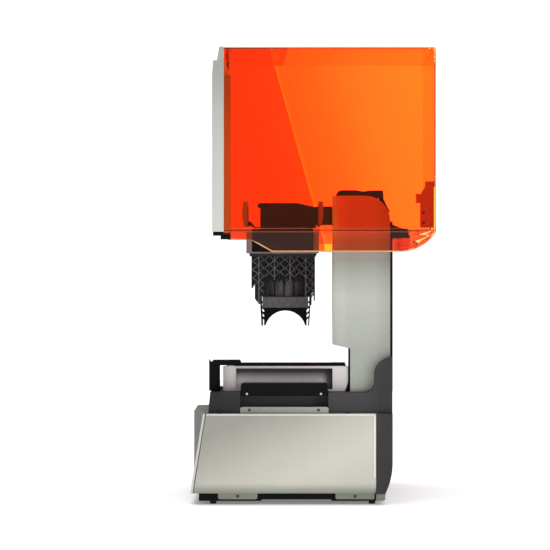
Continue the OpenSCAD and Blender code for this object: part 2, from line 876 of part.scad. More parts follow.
module tank_film() {
    color([0.85, 0.88, 0.9, 0.5]) block([-115, 115], [-133, 23], [film_top - 0.4, film_top]);
}

module tank_handles() {
    y = [pocket_y[0] + 0.8, pocket_y[1] - 0.8];
    color([0.06, 0.06, 0.06]) both() difference() {
        across(basin_x + 4, 181.5) {
            round_rect(y, [190, 211.6], 5);
            translate([y[0], 190]) square([y[1] - y[0], 10]);
        }
        block([tank_x - 20, 177.5], [y[0] + 4, y[1] - 4], [189, 207.5]);
        block([tank_x - 20, tank_x + 0.3], [-140, 40], [189, 200]);
        block([tank_x - 20, pocket_x + 0.5], [-140, 40], [189, deck_top + 0.4]);
    }
}

// ---- resin cartridge ----

module cartridge_body() {
    color([0.1, 0.1, 0.1]) difference() {
        union() {
            block(cart_x, [43, 116], [300, 540]);
            rod_z(98, 60, 296.5, 300.1, 4);
        }
        block([cart_x[0] + 3, cart_x[1] - 3], [46, 113], [304, 536]);
    }
}

// Moulded top with the grip dip and the skirt down the rear corner of the tower
module cartridge_lid() {
    color([0.08, 0.08, 0.08]) difference() {
        across(cart_x[0] - 2, cart_x[1] + 2) union() {
            polygon(concat(
                bend([cart_y[0], 544], [43, 552.9], [53, 552.9]),
                [[74, 552.9]],
                bend([78, 552.4], [87, 549.8], [97, 551.6], 5),
                [[100, 552.2], [cart_y[1], 552.2], [125.6, 537], [136.8, 514], [133.8, 512.6]],
                [[119, 536], [119, 540.2], [cart_y[0], 540.2]]
            ));
        }
        block([cart_x[0] + 12, cart_x[1] - 12], [72, 98], [543.5, 560]);
    }
}

// ---- cover ----

module cover_outline() {
    centre = arc_centre;
    polygon([
        [-156.5, 465], [-110.6, 465], [-72.1, 443.1], [centre[0], 443.1], [cover_rear, 478.1],
        [cover_rear, cover_top], [-156.5, cover_top]
    ]);
    intersection() {
        translate(centre) circle(cover_arc_r);
        translate([centre[0] - 1, 443.1]) square([cover_rear - centre[0] + 1, 80]);
    }
}

module cover_hollow() {
    centre = arc_centre;
    translate([-170, 400]) square([170 + centre[0], cover_top - cover_t - 400]);
    translate([centre[0] - 1, centre[1]]) square([62.6 - cover_t, cover_top - cover_t - centre[1]]);
    intersection() {
        translate(centre) circle(cover_arc_r - cover_t);
        translate([centre[0] - 1, 443.1]) square([62.6 - cover_t, 80]);
    }
}

module cover_shell() {
    color([1, 0.35, 0.05, 0.6]) difference() {
        across(-cover_x, cover_x) cover_outline();
        across(cover_t - cover_x, cover_x - cover_t) cover_hollow();
        block([bay_x[0] - 6, bay_x[1] + 6], [180, 220], [454.2, 558.2]);
    }
}

module cover_strips() {
    color([0.74, 0.74, 0.71]) both() difference() {
        across(strip_x[0], strip_x[1]) polygon([
            [-156.5, strip_foot], [-177, strip_foot], [-177, 755.7], [-175.4, 771],
            [-175.4, lip_foot], [-156.5, lip_foot]
        ]);
        block([strip_x[0] + 2, strip_x[1] - 2], [-173.4, -159], [470, 780]);
    }
}

module cover_lip() {
    color([0.72, 0.72, 0.69]) difference() {
        across(-base_w / 2, base_w / 2) polygon([
            [-156.5, lip_foot], [-168.5, lip_foot], [-164.5, cover_top], [-156.5, cover_top]
        ]);
        block([-120, 120], [-162, -155], [lip_foot + 2, cover_top - 3]);
    }
}

module cover_end_caps() {
    color([0.07, 0.07, 0.07]) both() {
        block(strip_x, [-175.4, -156.6], [471.6, strip_foot]);
        block(strip_x, [-161.9, -156.6], [465, 471.7]);
        block([cover_x + 0.1, base_w / 2], [-161.9, -144.4], [465, 471.7]);
    }
}

// Arms inside the rear of the tower, each with a foot that follows the curved rear wall of the cover
module hinge_arms() {
    r = cover_arc_r - cover_t;
    color([0.1, 0.1, 0.1]) both() {
        across(hinge_x[0], hinge_x[1]) difference() {
            union() {
                translate([hinge_y, hinge_z]) circle(knuckle_r);
                intersection() {
                    polygon(concat(
                        bend([132.7, 496.8], [146, 488], [161.2, 484.4]),
                        [[168.5, 484], [172, 468], [172, 440], [148, 440], [148, 468]],
                        [[130, 460], [119.5, 468]]
                    ));
                    translate(arc_centre) circle(r - 0.15);
                }
            }
            translate([hinge_y, hinge_z]) circle(pin_r + pin_gap);
        }
        across(hinge_slot_x[0] - 3, hinge_slot_x[1] + 1) intersection() {
            difference() {
                translate(arc_centre) circle(r - 0.15);
                translate(arc_centre) circle(r - 3);
            }
            translate([146, 440]) square([38, 30]);
        }
    }
}

module cover_brackets() {
    color([0.75, 0.74, 0.72]) difference() {
        union() {
            block([tower_x + 4, tower_x + 26], [197, cover_rear - cover_t], [486, 567]);
            block([tower_x + 4, tower_x + 26], [188.5, 197.1], [486, 529]);
            block([tower_x + 4, tower_x + 26], [181, 197.1], [529, 545]);
            across(tower_x + 4, tower_x + 26) polygon([[189, 544.9], [197.1, 558], [197.1, 544.9]]);
        }
        for (z = [494, 512]) translate([tower_x + 3, 193.5, z]) rotate([0, 90, 0]) cylinder(d = 3.4, h = 24, $fn = 24);
    }
}

// ---- what is drawn ----

bottom_pan();
rubber_feet();
left_side_panel();
right_side_panel();
front_panel();
display_housing();
touch_screen();
upper_deck();
cover_bumpers();
rear_housing();
rear_cover();
power_inlet();
data_ports();
power_switch();
panel_screws();
light_box_shell();
led_array();
heat_sink();
collimator_lens();
screen_panel();
fan_housing();
fan_rotor();
main_board();
power_supply();
tower_shell();
tower_back();
vent_plate();
tower_frame();
z_rails();
z_motor();
hinge_blocks();
hinge_pins();
cartridge_bay();
carriage_plate();
carriage_arms();
lead_nut();
lead_screw();
build_plate();
platform_body();
lever_springs();
rear_grip();
release_lever();
sample_print();
print_supports();
mixer_rail();
mixer_motor();
mixer_drive();
resin_mixer();
resin_tank();
tank_film();
tank_handles();
cartridge_body();
cartridge_lid();
cover_shell();
cover_strips();
cover_lip();
cover_end_caps();
hinge_arms();
cover_brackets();
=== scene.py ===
"""A desktop masked resin printer, its orange cover standing open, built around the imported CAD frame."""

import json
import math
import random

import bmesh
import bpy
from mathutils import Matrix, Vector


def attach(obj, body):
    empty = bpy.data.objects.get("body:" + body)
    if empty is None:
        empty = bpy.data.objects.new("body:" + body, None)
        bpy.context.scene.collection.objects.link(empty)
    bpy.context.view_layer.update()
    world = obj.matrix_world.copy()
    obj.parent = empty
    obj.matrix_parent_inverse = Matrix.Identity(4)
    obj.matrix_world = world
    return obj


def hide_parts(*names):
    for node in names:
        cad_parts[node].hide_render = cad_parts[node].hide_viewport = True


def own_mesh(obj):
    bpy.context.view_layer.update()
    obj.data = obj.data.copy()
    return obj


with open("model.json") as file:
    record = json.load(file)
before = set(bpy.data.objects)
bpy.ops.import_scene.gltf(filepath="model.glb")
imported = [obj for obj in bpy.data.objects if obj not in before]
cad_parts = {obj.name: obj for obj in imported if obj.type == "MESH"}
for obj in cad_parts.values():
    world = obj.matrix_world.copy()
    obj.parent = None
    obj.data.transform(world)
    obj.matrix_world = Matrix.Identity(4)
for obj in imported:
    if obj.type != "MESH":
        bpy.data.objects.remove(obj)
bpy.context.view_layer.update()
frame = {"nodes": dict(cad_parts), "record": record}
random.seed(7)

MM = 0.001
UP = (0, 0, 1)
BACK = (0, 1, 0)
record = frame["record"]
slot_of = {p["node"]: p["material_slot"] for p in record["subparts"]}
body_of = {n: b for b, ns in record["behaviour"]["bodies"].items() for n in ns}


# ---------------------------------------------------------------- camera, floor and light

LENS = 150.1
SENSOR = 36
EYE = (4.210, -0.0201, 0.4571)
SHIFT = (-0.0485, -0.0564)
FLOOR_HALF = 9

SKY_AS_LIGHT = 0.5
SKY_SEEN = (("Is Glossy Ray", 0.16), ("Is Transmission Ray", 1.2), ("Is Camera Ray", 1.25))

# The card's front edge, and the line of the painted reflection in the left wall, go forwards by the lean for
# each metre up.
CARD_LEAN = 0.28
CARD_GLOW = 3.6
CARD_SIZE = (0.6, 1.1)
CARD_PLACE = (-0.6, 0.285, 0.65)
PAINTED_GLEAM_LINE = 0.151

SUN_POWER = 2.6
SUN_SPREAD = 60
KEY_PLACE = (1.1, 0.75, 0.35)
KEY_TARGET = (0.2, 0.06, 0.2)
KEY_SIZE = (0.5, 0.7)
KEY_POWER = 5


def make_camera():
    """The photograph's view: square on from the right, a little over half way up, with a long lens."""
    data = bpy.data.cameras.new("camera")
    data.lens = LENS
    data.sensor_width = SENSOR
    data.shift_x, data.shift_y = SHIFT
    data.clip_end = 50
    cam = bpy.data.objects.new("camera", data)
    bpy.context.scene.collection.objects.link(cam)
    cam.location = EYE
    cam.rotation_euler = (math.pi / 2, 0, math.pi / 2)
    bpy.context.scene.camera = cam


def make_floor():
    bm = bmesh.new()
    bmesh.ops.create_grid(bm, x_segments=2, y_segments=2, size=FLOOR_HALF)
    floor = mesh_object("studio_floor", bm)
    floor.data.materials.append(floor_material())


def make_world():
    """White where it is seen, straight or through glass, softer as a light and dim in reflections."""
    world = bpy.data.worlds.new("studio")
    world.use_nodes = True
    bpy.context.scene.world = world
    nodes, links = world.node_tree.nodes, world.node_tree.links
    back = nodes["Background"]
    back.inputs["Color"].default_value = (1, 1, 1, 1)
    path = nodes.new("ShaderNodeLightPath")
    level = None
    for ray, strength in SKY_SEEN:
        mix = nodes.new("ShaderNodeMix")
        mix.data_type = "FLOAT"
        links.new(path.outputs[ray], mix.inputs["Factor"])
        mix.inputs[3].default_value = strength
        if level is None:
            mix.inputs[2].default_value = SKY_AS_LIGHT
        else:
            links.new(level, mix.inputs[2])
        level = mix.outputs[0]
    links.new(level, back.inputs["Strength"])


def soft_box(name, size, power):
    """A rectangular light that neither the camera nor a reflection sees."""
    data = bpy.data.lights.new(name, "AREA")
    data.shape = "RECTANGLE"
    data.size, data.size_y = size
    data.energy = power
    light = bpy.data.objects.new(name, data)
    bpy.context.scene.collection.objects.link(light)
    light.visible_camera = False
    light.visible_glossy = False
    return light


def back_card():
    """A leaning soft card beyond the left side of the cover, seen only through the acrylic."""
    card = soft_box("back_card", CARD_SIZE, CARD_GLOW * math.pi * CARD_SIZE[0] * CARD_SIZE[1])
    lean = math.atan(CARD_LEAN)
    across = Vector((0, math.cos(lean), math.sin(lean)))
    up = Vector((0, -math.sin(lean), math.cos(lean)))
    turn = Matrix((-across, up, (-1, 0, 0))).transposed().to_4x4()
    card.matrix_world = Matrix.Translation(CARD_PLACE) @ turn
    card.visible_diffuse = False


def overhead_light():
    """A broad sun straight above."""
    sun = bpy.data.lights.new("overhead", "SUN")
    sun.energy = SUN_POWER
    sun.angle = math.radians(SUN_SPREAD)
    overhead = bpy.data.objects.new("overhead", sun)
    bpy.context.scene.collection.objects.link(overhead)
    overhead.visible_glossy = False


def rear_key():
    """A low soft box behind the right side, which lights the rear end."""
    key = soft_box("rear_key", KEY_SIZE, KEY_POWER)
    key.location = KEY_PLACE
    aim = Vector(KEY_TARGET) - Vector(KEY_PLACE)
    key.rotation_euler = aim.to_track_quat("-Z", "Y").to_euler()
    key.visible_transmission = False


# ---------------------------------------------------------------- material building blocks

class Surface:
    """A node material with a Principled shader and short calls for its procedural detail."""

    def __init__(self, name, colour, rough, metallic=0.0, **sockets):
        self.mat = bpy.data.materials.new(name)
        self.mat.use_nodes = True
        self.nodes = self.mat.node_tree.nodes
        self.links = self.mat.node_tree.links
        self.shader = self.nodes["Principled BSDF"]
        self.shader.inputs["Base Color"].default_value = (*colour, 1)
        self.shader.inputs["Roughness"].default_value = rough
        self.shader.inputs["Metallic"].default_value = metallic
        for socket, value in sockets.items():
            self.shader.inputs[socket.replace("_", " ")].default_value = value
        self.colour = colour
        self.place = self.nodes.new("ShaderNodeTexCoord").outputs["Object"]
        self.colour_out = None
        self.bump_out = None

    def stretched(self, scale):
        """Object coordinates scaled apart along X, Y and Z, for streaks and brushing."""
        mapping = self.nodes.new("ShaderNodeMapping")
        mapping.inputs["Scale"].default_value = scale
        self.links.new(self.place, mapping.inputs["Vector"])
        return mapping.outputs["Vector"]

    def noise(self, scale, detail, where=None, rough=0.5):
        n = self.nodes.new("ShaderNodeTexNoise")
        n.inputs["Scale"].default_value = scale
        n.inputs["Detail"].default_value = detail
        n.inputs["Roughness"].default_value = rough
        self.links.new(where or self.place, n.inputs["Vector"])
        return n.outputs["Fac"]

    def ramp(self, fac, *stops):
        """A colour ramp; each stop is (position, colour or grey)."""
        r = self.nodes.new("ShaderNodeValToRGB")
        while len(r.color_ramp.elements) < len(stops):
            r.color_ramp.elements.new(0.5)
        for element, (position, value) in zip(r.color_ramp.elements, stops):
            element.position = position
            value = (value,) * 3 if isinstance(value, (int, float)) else value
            element.color = (*value, 1)
        self.links.new(fac, r.inputs["Fac"])
        return r.outputs["Color"]

    def patches(self, scale, detail, low, high, where):
        """Noise turned into greys from low to high."""
        return self.ramp(self.noise(scale, detail, where), (0.3, low), (0.7, high))

    def span(self, value, low, high):
        """0 where a value is low and 1 where it is high."""
        reach = self.nodes.new("ShaderNodeMapRange")
        reach.inputs["From Min"].default_value = low
        reach.inputs["From Max"].default_value = high
        self.links.new(value, reach.inputs["Value"])
        return reach.outputs["Result"]

    def along(self, axis, low, high):
        """0 at low and 1 at high, in metres along an axis."""
        split = self.nodes.new("ShaderNodeSeparateXYZ")
        self.links.new(self.place, split.inputs[0])
        return self.span(split.outputs["XYZ".index(axis)], low, high)

    def slanted(self, direction, low, high):
        """0 at low and 1 at high, in metres along any direction."""
        dot = self.nodes.new("ShaderNodeVectorMath")
        dot.operation = "DOT_PRODUCT"
        dot.inputs[1].default_value = direction
        self.links.new(self.place, dot.inputs[0])
        return self.span(dot.outputs["Value"], low, high)

    def tint(self, shade):
        """Multiplies the base colour so far by a colour output."""
        mix = self.nodes.new("ShaderNodeMix")
        mix.data_type = "RGBA"
        mix.blend_type = "MULTIPLY"
        mix.inputs["Factor"].default_value = 1.0
        so_far, factor = mix.inputs[6], mix.inputs[7]
        if self.colour_out is None:
            so_far.default_value = (*self.colour, 1)
        else:
            self.links.new(self.colour_out, so_far)
        self.links.new(shade, factor)
        self.colour_out = mix.outputs[2]
        self.links.new(self.colour_out, self.shader.inputs["Base Color"])
        return self

    def mottle(self, scale, low, high, detail=4, where=None):
        """Soft light and dark variation of the base colour."""
        return self.tint(self.patches(scale, detail, low, high, where))

    def vary_rough(self, scale, low, high, where=None):
        self.links.new(self.patches(scale, 4, low, high, where), self.shader.inputs["Roughness"])
        return self

    def bump(self, height, depth, strength=1.0):
        """Adds a bump layer; depth is in metres."""
        b = self.nodes.new("ShaderNodeBump")
        b.inputs["Distance"].default_value = depth
        b.inputs["Strength"].default_value = strength
        self.links.new(height, b.inputs["Height"])
        if self.bump_out is not None:
            self.links.new(self.bump_out, b.inputs["Normal"])
        self.bump_out = b.outputs["Normal"]
        self.links.new(self.bump_out, self.shader.inputs["Normal"])
        return self

    def grain(self, scale, depth):
        return self.bump(self.noise(scale, 2, rough=0.6), depth)


# ---------------------------------------------------------------- kinds of material

EVEN = ((0, 1), (1, 1))


def floor_material():
    """Matt white that glows a little, so that the shadow on it stays pale."""
    s = Surface("floor_white", (0.93, 0.93, 0.93), 0.6, Emission_Strength=0.2)
    return s.mottle(3, 0.985, 1.0).mat


def satin_paint(name, colour, direction=BACK, low=-0.2, high=0.2, painted_shades=EVEN, painted_height_shade=None):
    """Warm silver powder coat: a faint pearl sparkle, and painted shade and sheen that change softly in one
    direction.

    The last argument adds painted shade over Z: its range in metres, and then its stops."""
    s = Surface(name, colour, 0.42, 0.35)
    s.tint(s.ramp(s.slanted(direction, low, high), *painted_shades))
    if painted_height_shade:
        s.tint(s.ramp(s.along("Z", *painted_height_shade[0]), *painted_height_shade[1:]))
    s.mottle(2600, 0.93, 1.05, 1)
    s.mottle(9, 0.975, 1.015)
    s.vary_rough(40, 0.38, 0.46)
    s.grain(1900, 0.00002)
    return s.mat


def moulding(name, colour, rough=0.5, texture=0.00004, gloss=0.25, painted_shades=None):
    """Spark-eroded fine grain on a plastic moulding; painted light and shade can run along the depth of the
    base.
    """
    s = Surface(name, colour, rough, Specular_IOR_Level=gloss)
    if painted_shades:
        s.tint(s.ramp(s.along("Y", -0.18, 0.14), *painted_shades))
    s.mottle(14, 0.88, 1.12)
    s.mottle(1500, 0.85, 1.15, 1)
    s.vary_rough(60, rough - 0.06, rough + 0.08)
    s.grain(1700, texture)
    return s.mat


def brushed(name, colour, rough, stretch, metallic=1.0):
    """Ground or brushed metal with fine lines along one axis."""
    s = Surface(name, colour, rough, metallic)
    lines = s.stretched(stretch)
    s.mottle(1, 0.86, 1.08, 5, lines)
    s.vary_rough(1, rough - 0.07, rough + 0.1, lines)
    s.bump(s.noise(1, 4, lines), 0.00001)
    return s.mat


def acrylic(name, colour=(1.0, 0.17, 0.02), rough=0.015, ior=1.42):
    """Clear tinted sheet, very slightly uneven."""
    s = Surface(name, colour, rough, IOR=ior, Transmission_Weight=1.0)
    s.mottle(4, 0.98, 1.0, 1)
    s.bump(s.noise(5, 1), 0.0002, 0.15)
    return s.mat


def acrylic_left_painted_reflection(name):
    """The left wall: a painted reflection, its tint changing at a slanting line, where the card beyond it
    starts, and then paling.
    """
    s = Surface(name, (1.0, 1.0, 1.0), 0.015, IOR=1.42, Transmission_Weight=1.0)
    where = s.slanted((0, 1, CARD_LEAN), PAINTED_GLEAM_LINE - 0.1, PAINTED_GLEAM_LINE + 0.3)
    s.tint(s.ramp(where, (0.0, (0.97, 0.16, 0.003)), (0.245, (0.97, 0.22, 0.005)), (0.27, (0.98, 0.13, 0.03)),
                  (0.42, (1.0, 0.165, 0.06)), (0.65, (1.0, 0.26, 0.12)), (1.0, (1.0, 0.33, 0.13))))
    return s.mat


def acrylic_edge(name):
    """The rounded edges of the acrylic, painted to glow as if the light that the sheet collects came out
    there: a painted highlight along the top edge, and dimmer brown lower down.
    """
    s = Surface(name, (0.5, 0.22, 0.1), 0.2, Emission_Strength=0.4)
    glow = s.ramp(s.along("Z", 0.44, 0.8), (0.0, (0.4, 0.16, 0.06)), (0.1, (0.2, 0.06, 0.02)),
                  (0.97, (0.3, 0.1, 0.03)), (0.985, (1.0, 0.5, 0.15)))
    s.links.new(glow, s.shader.inputs["Emission Color"])
    s.mottle(120, 0.85, 1.1, 2)
    s.grain(900, 0.00003)
    return s.mat


def cured_resin(name, colour, gloss=0.25):
    """Cured resin: fine layer lines and a dry sheen."""
    s = Surface(name, colour, 0.45, Specular_IOR_Level=gloss)
    wave = s.nodes.new("ShaderNodeTexWave")
    wave.bands_direction = "Z"
    wave.inputs["Scale"].default_value = 3200
    wave.inputs["Distortion"].default_value = 0.4
    s.links.new(s.place, wave.inputs["Vector"])
    s.bump(wave.outputs["Fac"], 0.00003)
    s.mottle(160, 0.75, 1.25)
    return s.mat


def touch_glass(name):
    return Surface(name, (0.008, 0.008, 0.01), 0.08, Coat_Weight=1.0).vary_rough(30, 0.05, 0.12).mat


def lit_area(name, colour, glow):
    """A lit area behind the touch glass."""
    s = Surface(name, colour, 0.12, Emission_Strength=glow)
    s.shader.inputs["Emission Color"].default_value = (*colour, 1)
    return s.mottle(70, 0.92, 1.06).mat


def soft_rubber(name):
    return Surface(name, (0.012, 0.012, 0.012), 0.75).mottle(300, 0.7, 1.3).grain(1200, 0.00005).mat


def circuit(name):
    """Solder mask over a pattern of tracks."""
    s = Surface(name, (0.02, 0.13, 0.05), 0.3)
    brick = s.nodes.new("ShaderNodeTexBrick")
    brick.inputs["Scale"].default_value = 160
    s.links.new(s.place, brick.inputs["Vector"])
    s.tint(s.ramp(brick.outputs["Fac"], (0.0, (0.8, 0.9, 0.8)), (1.0, (1.5, 1.4, 0.9))))
    return s.mat


def tank_recess_painted_shade(name):
    """The window in the end of the tank frame, with painted shade under its top edge and at its rear end, and
    painted light lower down.
    """
    s = Surface(name, (0.33, 0.31, 0.305), 0.5)
    lintel_painted_shade = ((0.0, 1.6), (0.35, 1.35), (0.6, 0.55), (0.78, 0.06), (1.0, 0.04))
    rear_end_painted_shade = ((0.0, 1.0), (0.88, 1.0), (0.94, 0.12), (1.0, 0.06))
    s.tint(s.ramp(s.along("Z", 0.205, 0.238), *lintel_painted_shade))
    s.tint(s.ramp(s.along("Y", -0.13, 0.036), *rear_end_painted_shade))
    s.mottle(60, 0.94, 1.05)
    return s.mat


def clear_part(name, colour, rough):
    s = Surface(name, colour, rough, IOR=1.45, Transmission_Weight=1.0)
    return s.mottle(30, 0.97, 1.0).mat


# ---------------------------------------------------------------- the materials, by name

# Painted light and shade: soft changes of shade and sheen, painted into the colour as stops of a ramp.
# Side panels: a painted sheen along a slanting line, and painted shade at the foot, where it curves in.
PANEL_PAINTED_SHEEN = ((0.0, 0.61), (0.2, 0.765), (0.375, 0.93), (0.585, 1.05), (0.65, 1.08), (0.92, 0.99),
               (1.0, 0.97))
PANEL_FOOT_PAINTED_SHADE = ((0.018, 0.056), (0.0, (0.4, 0.43, 0.4)), (0.24, (0.6, 0.63, 0.6)), (0.47, 0.88), (0.63, 1.0),
              (1.0, 1.0))
# Tower: painted sheen, lighter at the front and darker at the rear, and painted shade over its height,
# darkest just under the cover's lower edge.
TOWER_PAINTED_SHEEN = ((0.0, 1.5), (0.15, 1.1), (0.3, 0.98), (0.7, 0.98), (1.0, 0.75))
TOWER_PAINTED_SHADE_BY_HEIGHT = ((0.27, 0.55), (0.0, 0.74), (0.2, 0.86), (0.34, 0.95), (0.46, 0.8), (0.57, 0.57), (0.64, 0.61),
                (0.69, 0.8), (0.75, 1.2), (1.0, 1.3))
# Housing: painted light and shade along the depth of the base.
HOUSING_PAINTED_SHADES = ((0.0, 0.62), (0.15, 0.8), (0.5, 1.4), (0.85, 1.5), (0.94, 1.1), (1.0, 1.0))
# Tank: painted sheen and shade along its length, light on its rounded ends and dark at their edges.
TANK_PAINTED_SHEEN = ((0.0, 0.6), (0.03, 0.9), (0.08, 1.1), (0.11, 0.85), (0.82, 1.1), (0.87, 1.35), (0.97, 1.4),
              (1.0, 0.8))
# Cover strips: painted sheen, lighter low down and darker near the top.
STRIP_PAINTED_SHEEN = ((0.0, 1.12), (0.5, 1.0), (0.9, 0.75), (1.0, 0.8))

MATERIALS = {
    # The record's slots.
    "panel_silver": lambda name: satin_paint(
        name, (0.54, 0.533, 0.475), (0, 1, -2.2), -0.45, 0.03, PANEL_PAINTED_SHEEN, PANEL_FOOT_PAINTED_SHADE),
    "tower_silver": lambda name: satin_paint(
        name, (0.55, 0.575, 0.52), BACK, 0.03, 0.14, TOWER_PAINTED_SHEEN, TOWER_PAINTED_SHADE_BY_HEIGHT),
    "housing_grey": lambda name: moulding(name, (0.03, 0.03, 0.031), painted_shades=HOUSING_PAINTED_SHADES),
    "black_plastic": lambda name: moulding(name, (0.005, 0.005, 0.005), gloss=0.08),
    "black_glass": touch_glass,
    "orange_cover": acrylic,
    "tank_satin": lambda name: satin_paint(name, (0.54, 0.50, 0.50), BACK, -0.16, 0.065, TANK_PAINTED_SHEEN),
    "clear_film": lambda name: clear_part(name, (0.85, 0.9, 0.95), 0.05),
    "plate_aluminium": lambda name: brushed(name, (0.2, 0.185, 0.18), 0.45, (30, 30, 900), 0.5),
    "grip_grey": lambda name: brushed(name, (0.36, 0.35, 0.34), 0.38, (30, 30, 700), 0.7),
    "bright_steel": lambda name: brushed(name, (0.72, 0.72, 0.74), 0.24, (900, 40, 900)),
    "spring_black": lambda name: moulding(name, (0.01, 0.01, 0.011), 0.4, 0.00002),
    "frame_aluminium": lambda name: brushed(name, (0.62, 0.63, 0.64), 0.35, (900, 900, 30)),
    "bronze": lambda name: brushed(name, (0.62, 0.42, 0.18), 0.3, (900, 900, 60)),
    "motor_black": lambda name: moulding(name, (0.02, 0.02, 0.022), 0.36, 0.00003),
    "rubber": soft_rubber,
    "board_green": circuit,
    "supply_steel": lambda name: brushed(name, (0.5, 0.51, 0.52), 0.35, (60, 900, 900)),
    "lens_clear": lambda name: clear_part(name, (0.93, 0.96, 0.98), 0.02),
    "screen_dark": lambda name: moulding(name, (0.01, 0.01, 0.015), 0.15, 0.000002),
    "print_grey": lambda name: cured_resin(name, (0.1, 0.1, 0.1)),
    "support_black": lambda name: cured_resin(name, (0.018, 0.018, 0.019)),
    "bracket_light": lambda name: satin_paint(name, (0.6, 0.58, 0.54)),
    # Finer finishes within a slot.
    "acrylic_edge": acrylic_edge,
    "acrylic_left_painted_reflection": acrylic_left_painted_reflection,
    "acrylic_pale": lambda name: acrylic(name, (1.0, 0.6, 0.12)),
    "acrylic_low": lambda name: acrylic(name, (0.96, 0.2, 0.01), 0.02, 1.27),
    "acrylic_arc": lambda name: acrylic(name, (0.47, 0.155, 0.05), 0.02, 1.27),
    "acrylic_flange": lambda name: acrylic(name, (0.85, 0.3, 0.25), 0.1, 1.2),
    # Painted shade and painted highlights for the lines along the cover's crease.
    "acrylic_bend_painted_shade": lambda name: moulding(name, (0.05, 0.004, 0.002), 0.4),
    "acrylic_bead_painted_highlight": lambda name: moulding(name, (0.45, 0.1, 0.04), 0.3, 0.000002),
    "screw_dark": lambda name: brushed(name, (0.09, 0.09, 0.09), 0.35, (700, 700, 700)),
    # The finger pocket: a lighter grey than the deck, painted light against its shade.
    "pocket_grey_painted_light": lambda name: moulding(name, (0.055, 0.055, 0.055)),
    # The display pod: a darker copy of the silver, as painted shade.
    "pod_silver_painted_shade": lambda name: satin_paint(name, (0.32, 0.335, 0.31)),
    "strip_silver": lambda name: satin_paint(name, (0.62, 0.61, 0.57), UP, 0.48, 0.8, STRIP_PAINTED_SHEEN),
    "panel_edge_painted_highlight": lambda name: satin_paint(name, (0.58, 0.57, 0.52)),
    "hem_painted_highlight": lambda name: satin_paint(name, (0.9, 0.89, 0.86)),
    "fold_painted_shadow": lambda name: moulding(name, (0.04, 0.042, 0.038), 0.6),
    "foot_block": lambda name: moulding(name, (0.17, 0.175, 0.16)),
    "print_black_painted_shade": lambda name: cured_resin(name, (0.004, 0.004, 0.004), 0.08),
    "brace_grey": lambda name: cured_resin(name, (0.13, 0.13, 0.13)),
    "display_slate": lambda name: lit_area(name, (0.02, 0.03, 0.045), 0.5),
    "display_light": lambda name: lit_area(name, (0.55, 0.6, 0.65), 0.7),
    "display_accent": lambda name: lit_area(name, (0.95, 0.32, 0.05), 0.9),
    "tank_recess_painted_shade": tank_recess_painted_shade,
}
made = {}


def material(name):
    if name not in made:
        made[name] = MATERIALS[name](name)
    return made[name]


# ---------------------------------------------------------------- mesh building blocks

SMOOTH_BELOW = math.radians(30)
ROUND_ABOVE = math.radians(28)
FLAT_WITHIN = math.radians(0.6)
SAME_POINT = 0.000004


def mesh_object(name, bm, *finishes):
    """Makes an object of a bmesh; the faces' material indices choose among the finishes."""
    bmesh.ops.recalc_face_normals(bm, faces=bm.faces)
    mesh = bpy.data.meshes.new(name)
    bm.to_mesh(mesh)
    bm.free()
    mesh.polygons.foreach_set("use_smooth", [True] * len(mesh.polygons))
    mesh.set_sharp_from_angle(angle=SMOOTH_BELOW)
    obj = bpy.data.objects.new(name, mesh)
    bpy.context.scene.collection.objects.link(obj)
    for finish in finishes:
        mesh.materials.append(material(finish))
    return obj


def round_edges(obj, width, segments):
    b = obj.modifiers.new("round_edges", "BEVEL")
    b.width = width
    b.segments = segments
    b.limit_method = "ANGLE"
    b.angle_limit = ROUND_ABOVE
    b.harden_normals = True
    b.use_clamp_overlap = True


def settle(obj, node, slot=None):
    """Attaches a piece to the body of a CAD node, and gives it the material of the node's slot, or of another
    slot, if it has none.
    """
    slot = slot or slot_of[node]
    if not obj.data.materials:
        obj.data.materials.append(material(slot))
    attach(obj, body_of[node])


def cad_copy(node):
    """A bmesh of a CAD node with its triangles joined into whole faces."""
    bm = bmesh.new()
    bm.from_mesh(frame["nodes"][node].data)
    bmesh.ops.remove_doubles(bm, verts=bm.verts, dist=SAME_POINT)
    bmesh.ops.dissolve_limit(bm, angle_limit=FLAT_WITHIN, verts=bm.verts, edges=bm.edges)
    return bm


def cut(bm, place, normal):
    """Splits the faces of a bmesh where a plane meets them; place is in metres."""
    bmesh.ops.bisect_plane(bm, geom=bm.verts[:] + bm.edges[:] + bm.faces[:], plane_co=place, plane_no=normal)


def remake(node, width, segments=3, finishes=(), choose=None, cuts=()):
    """A finer copy of a CAD node, with rounded edges.

    choose gives the index of a face's finish from the face's middle in millimetres, and cuts are the
    planes, each a place and a normal, where one finish meets the next."""
    bm = cad_copy(node)
    for place, normal in cuts:
        cut(bm, place, normal)
    if choose:
        for f in bm.faces:
            f.material_index = choose(f.calc_center_median() / MM)
    obj = mesh_object(node + "_skin", bm, *finishes)
    round_edges(obj, width, segments)
    settle(obj, node)
    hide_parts(node)


def rod(bm, a, b, r, sides):
    """A round rod from a to b, in millimetres."""
    a, b = Vector(a) * MM, Vector(b) * MM
    turn = (b - a).to_track_quat("Z", "Y").to_matrix().to_4x4()
    place = Matrix.Translation((a + b) / 2) @ turn
    bmesh.ops.create_cone(bm, cap_ends=True, segments=sides, radius1=r * MM, radius2=r * MM,
                          depth=(b - a).length, matrix=place)


def box(bm, x, y, z):
    """A box given by its ranges in millimetres."""
    verts = bmesh.ops.create_cube(bm, size=1)["verts"]
    for v in verts:
        v.co = Vector([(lo + hi) / 2 + c * (hi - lo) for (lo, hi), c in zip((x, y, z), v.co)]) * MM
    return verts


